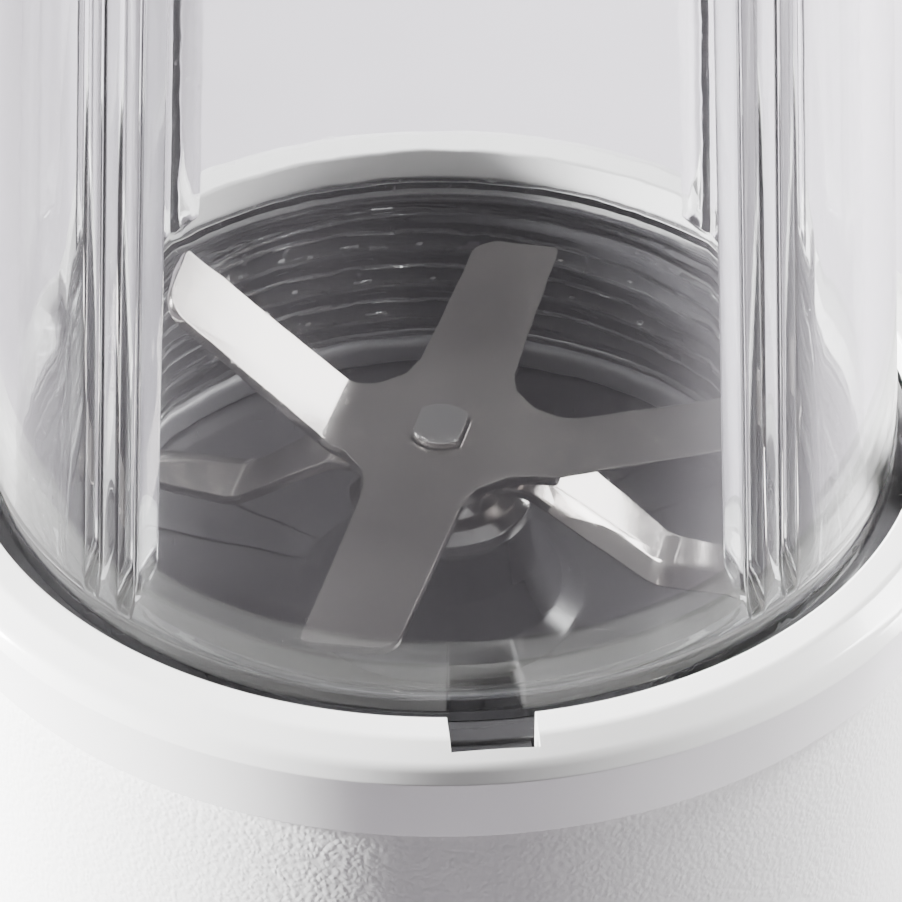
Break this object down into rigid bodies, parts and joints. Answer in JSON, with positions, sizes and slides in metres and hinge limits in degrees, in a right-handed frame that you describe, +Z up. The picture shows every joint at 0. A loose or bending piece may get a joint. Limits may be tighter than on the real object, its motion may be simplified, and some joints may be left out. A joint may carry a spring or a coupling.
{
  "type": "personal countertop blender",
  "caption": "Personal countertop blender: an inverted clear cup with inner ribs, screwed to a holder with stacked steel blades, twist-locks into a white motor base that flares to its feet.",
  "frame": {"origin": "on the blade axis, at the level of the feet's undersides", "axes": "+Z up along the blade axis, -Y towards the front, where a locking notch of the collar shows"},
  "size_m": [0.1372, 0.1372, 0.34],
  "materials": {
    "clear_plastic": "clear moulded copolyester, polished",
    "white_gloss_plastic": "gloss white moulded plastic",
    "white_textured_plastic": "matt white plastic with a fine leather-like stipple",
    "charcoal_plastic": "semi-gloss charcoal moulded plastic",
    "black_plastic": "matt black engineering plastic",
    "silicone_rubber": "dark grey silicone",
    "black_rubber": "matt black rubber",
    "satin_steel": "satin stainless steel with ground edges",
    "polished_steel": "polished stainless steel",
    "zinc_steel": "zinc-plated steel",
    "lamination_steel": "varnished steel laminations",
    "cast_aluminium": "die-cast aluminium",
    "copper_winding": "enamelled copper",
    "sintered_bronze": "oil-filled sintered bronze",
    "carbon_block": "pressed carbon",
    "board_laminate": "glass-epoxy board with its parts"
  },
  "bodies": {
    "base": {"bottom_cover": "charcoal_plastic", "brush_back": "carbon_block", "brush_front": "carbon_block", "brush_holder_back": "sintered_bronze", "brush_holder_front": "sintered_bronze", "circuit_board": "board_laminate", "cord_inlet": "black_rubber", "cover_screw_1": "zinc_steel", "cover_screw_2": "zinc_steel", "cover_screw_3": "zinc_steel", "cup_well": "charcoal_plastic", "field_coil_left": "copper_winding", "field_coil_right": "copper_winding", "foot_back_left": "black_rubber", "foot_back_right": "black_rubber", "foot_front_left": "black_rubber", "foot_front_right": "black_rubber", "housing_shell": "white_textured_plastic", "lower_bearing": "polished_steel", "lower_bracket": "cast_aluminium", "microswitch_a": "black_plastic", "microswitch_b": "black_plastic", "microswitch_c": "black_plastic", "motor_mount_a": "black_rubber", "motor_mount_b": "black_rubber", "motor_mount_c": "black_rubber", "motor_screw_a": "zinc_steel", "motor_screw_b": "zinc_steel", "motor_screw_c": "zinc_steel", "plunger_spring_a": "zinc_steel", "plunger_spring_b": "zinc_steel", "plunger_spring_c": "zinc_steel", "stator": "lamination_steel", "switch_plate": "charcoal_plastic", "top_collar": "white_gloss_plastic", "upper_bearing": "polished_steel", "upper_bracket": "cast_aluminium"},
    "rotor": {"motor_shaft": "zinc_steel", "armature": "copper_winding", "commutator": "copper_winding", "cooling_fan": "black_plastic", "drive_coupling": "black_plastic"},
    "shaft_bushes": {"upper_bush": "sintered_bronze", "lower_bush": "sintered_bronze"},
    "spindle": {"blade_shaft": "polished_steel", "upper_blade": "satin_steel", "lower_blade": "satin_steel", "blade_spacer": "polished_steel", "retaining_clip": "zinc_steel", "driven_coupling": "black_plastic"},
    "holder": {"blade_holder": "charcoal_plastic", "bearing_housing": "polished_steel", "housing_nut": "zinc_steel", "shaft_seal": "black_rubber"},
    "gasket": {"holder_gasket": "silicone_rubber"},
    "cup": {"cup": "clear_plastic"},
    "plunger_a": {"plunger_a": "white_gloss_plastic"},
    "plunger_b": {"plunger_b": "white_gloss_plastic"},
    "plunger_c": {"plunger_c": "white_gloss_plastic"}
  },
  "joints": [
    {"name": "motor_spin", "type": "hinge", "parent": "base", "child": "rotor", "pos_m": [0, 0, 0.084], "axis": [0, 0, 1], "continuous": true},
    {"name": "unit_lift", "type": "slide", "parent": "base", "child": "shaft_bushes", "axis": [0, 0, 1], "range_m": [0, 0.08]},
    {"name": "blade_spin", "type": "hinge", "parent": "shaft_bushes", "child": "spindle", "pos_m": [0, 0, 0.17], "axis": [0, 0, 1], "continuous": true},
    {"name": "holder_twist", "type": "hinge", "parent": "shaft_bushes", "child": "holder", "pos_m": [0, 0, 0.166], "axis": [0, 0, -1], "range_deg": [0, 20]},
    {"name": "cup_unscrew", "type": "hinge", "parent": "holder", "child": "gasket", "pos_m": [0, 0, 0.166], "axis": [0, 0, 1], "range_deg": [0, 720]},
    {"name": "cup_rise", "type": "slide", "parent": "gasket", "child": "cup", "axis": [0, 0, 1], "range_m": [0, 0.0191]},
    {"name": "plunger_a_press", "type": "slide", "parent": "base", "child": "plunger_a", "axis": [0, 0, -1], "range_m": [0, 0.00201], "deforming": ["plunger_spring_a"]},
    {"name": "plunger_b_press", "type": "slide", "parent": "base", "child": "plunger_b", "axis": [0, 0, -1], "range_m": [0, 0.00201], "deforming": ["plunger_spring_b"]},
    {"name": "plunger_c_press", "type": "slide", "parent": "base", "child": "plunger_c", "axis": [0, 0, -1], "range_m": [0, 0.00201], "deforming": ["plunger_spring_c"]}
  ],
  "couplings": [
    {"joint": "blade_spin", "follows": "motor_spin", "ratio": 1},
    {"joint": "cup_rise", "follows": "cup_unscrew", "m_per_rad": 0.001512},
    {"joint": "plunger_a_press", "follows": "holder_twist", "m_per_rad": 0.0057296},
    {"joint": "plunger_b_press", "follows": "holder_twist", "m_per_rad": 0.0057296},
    {"joint": "plunger_c_press", "follows": "holder_twist", "m_per_rad": 0.0057296}
  ]
}
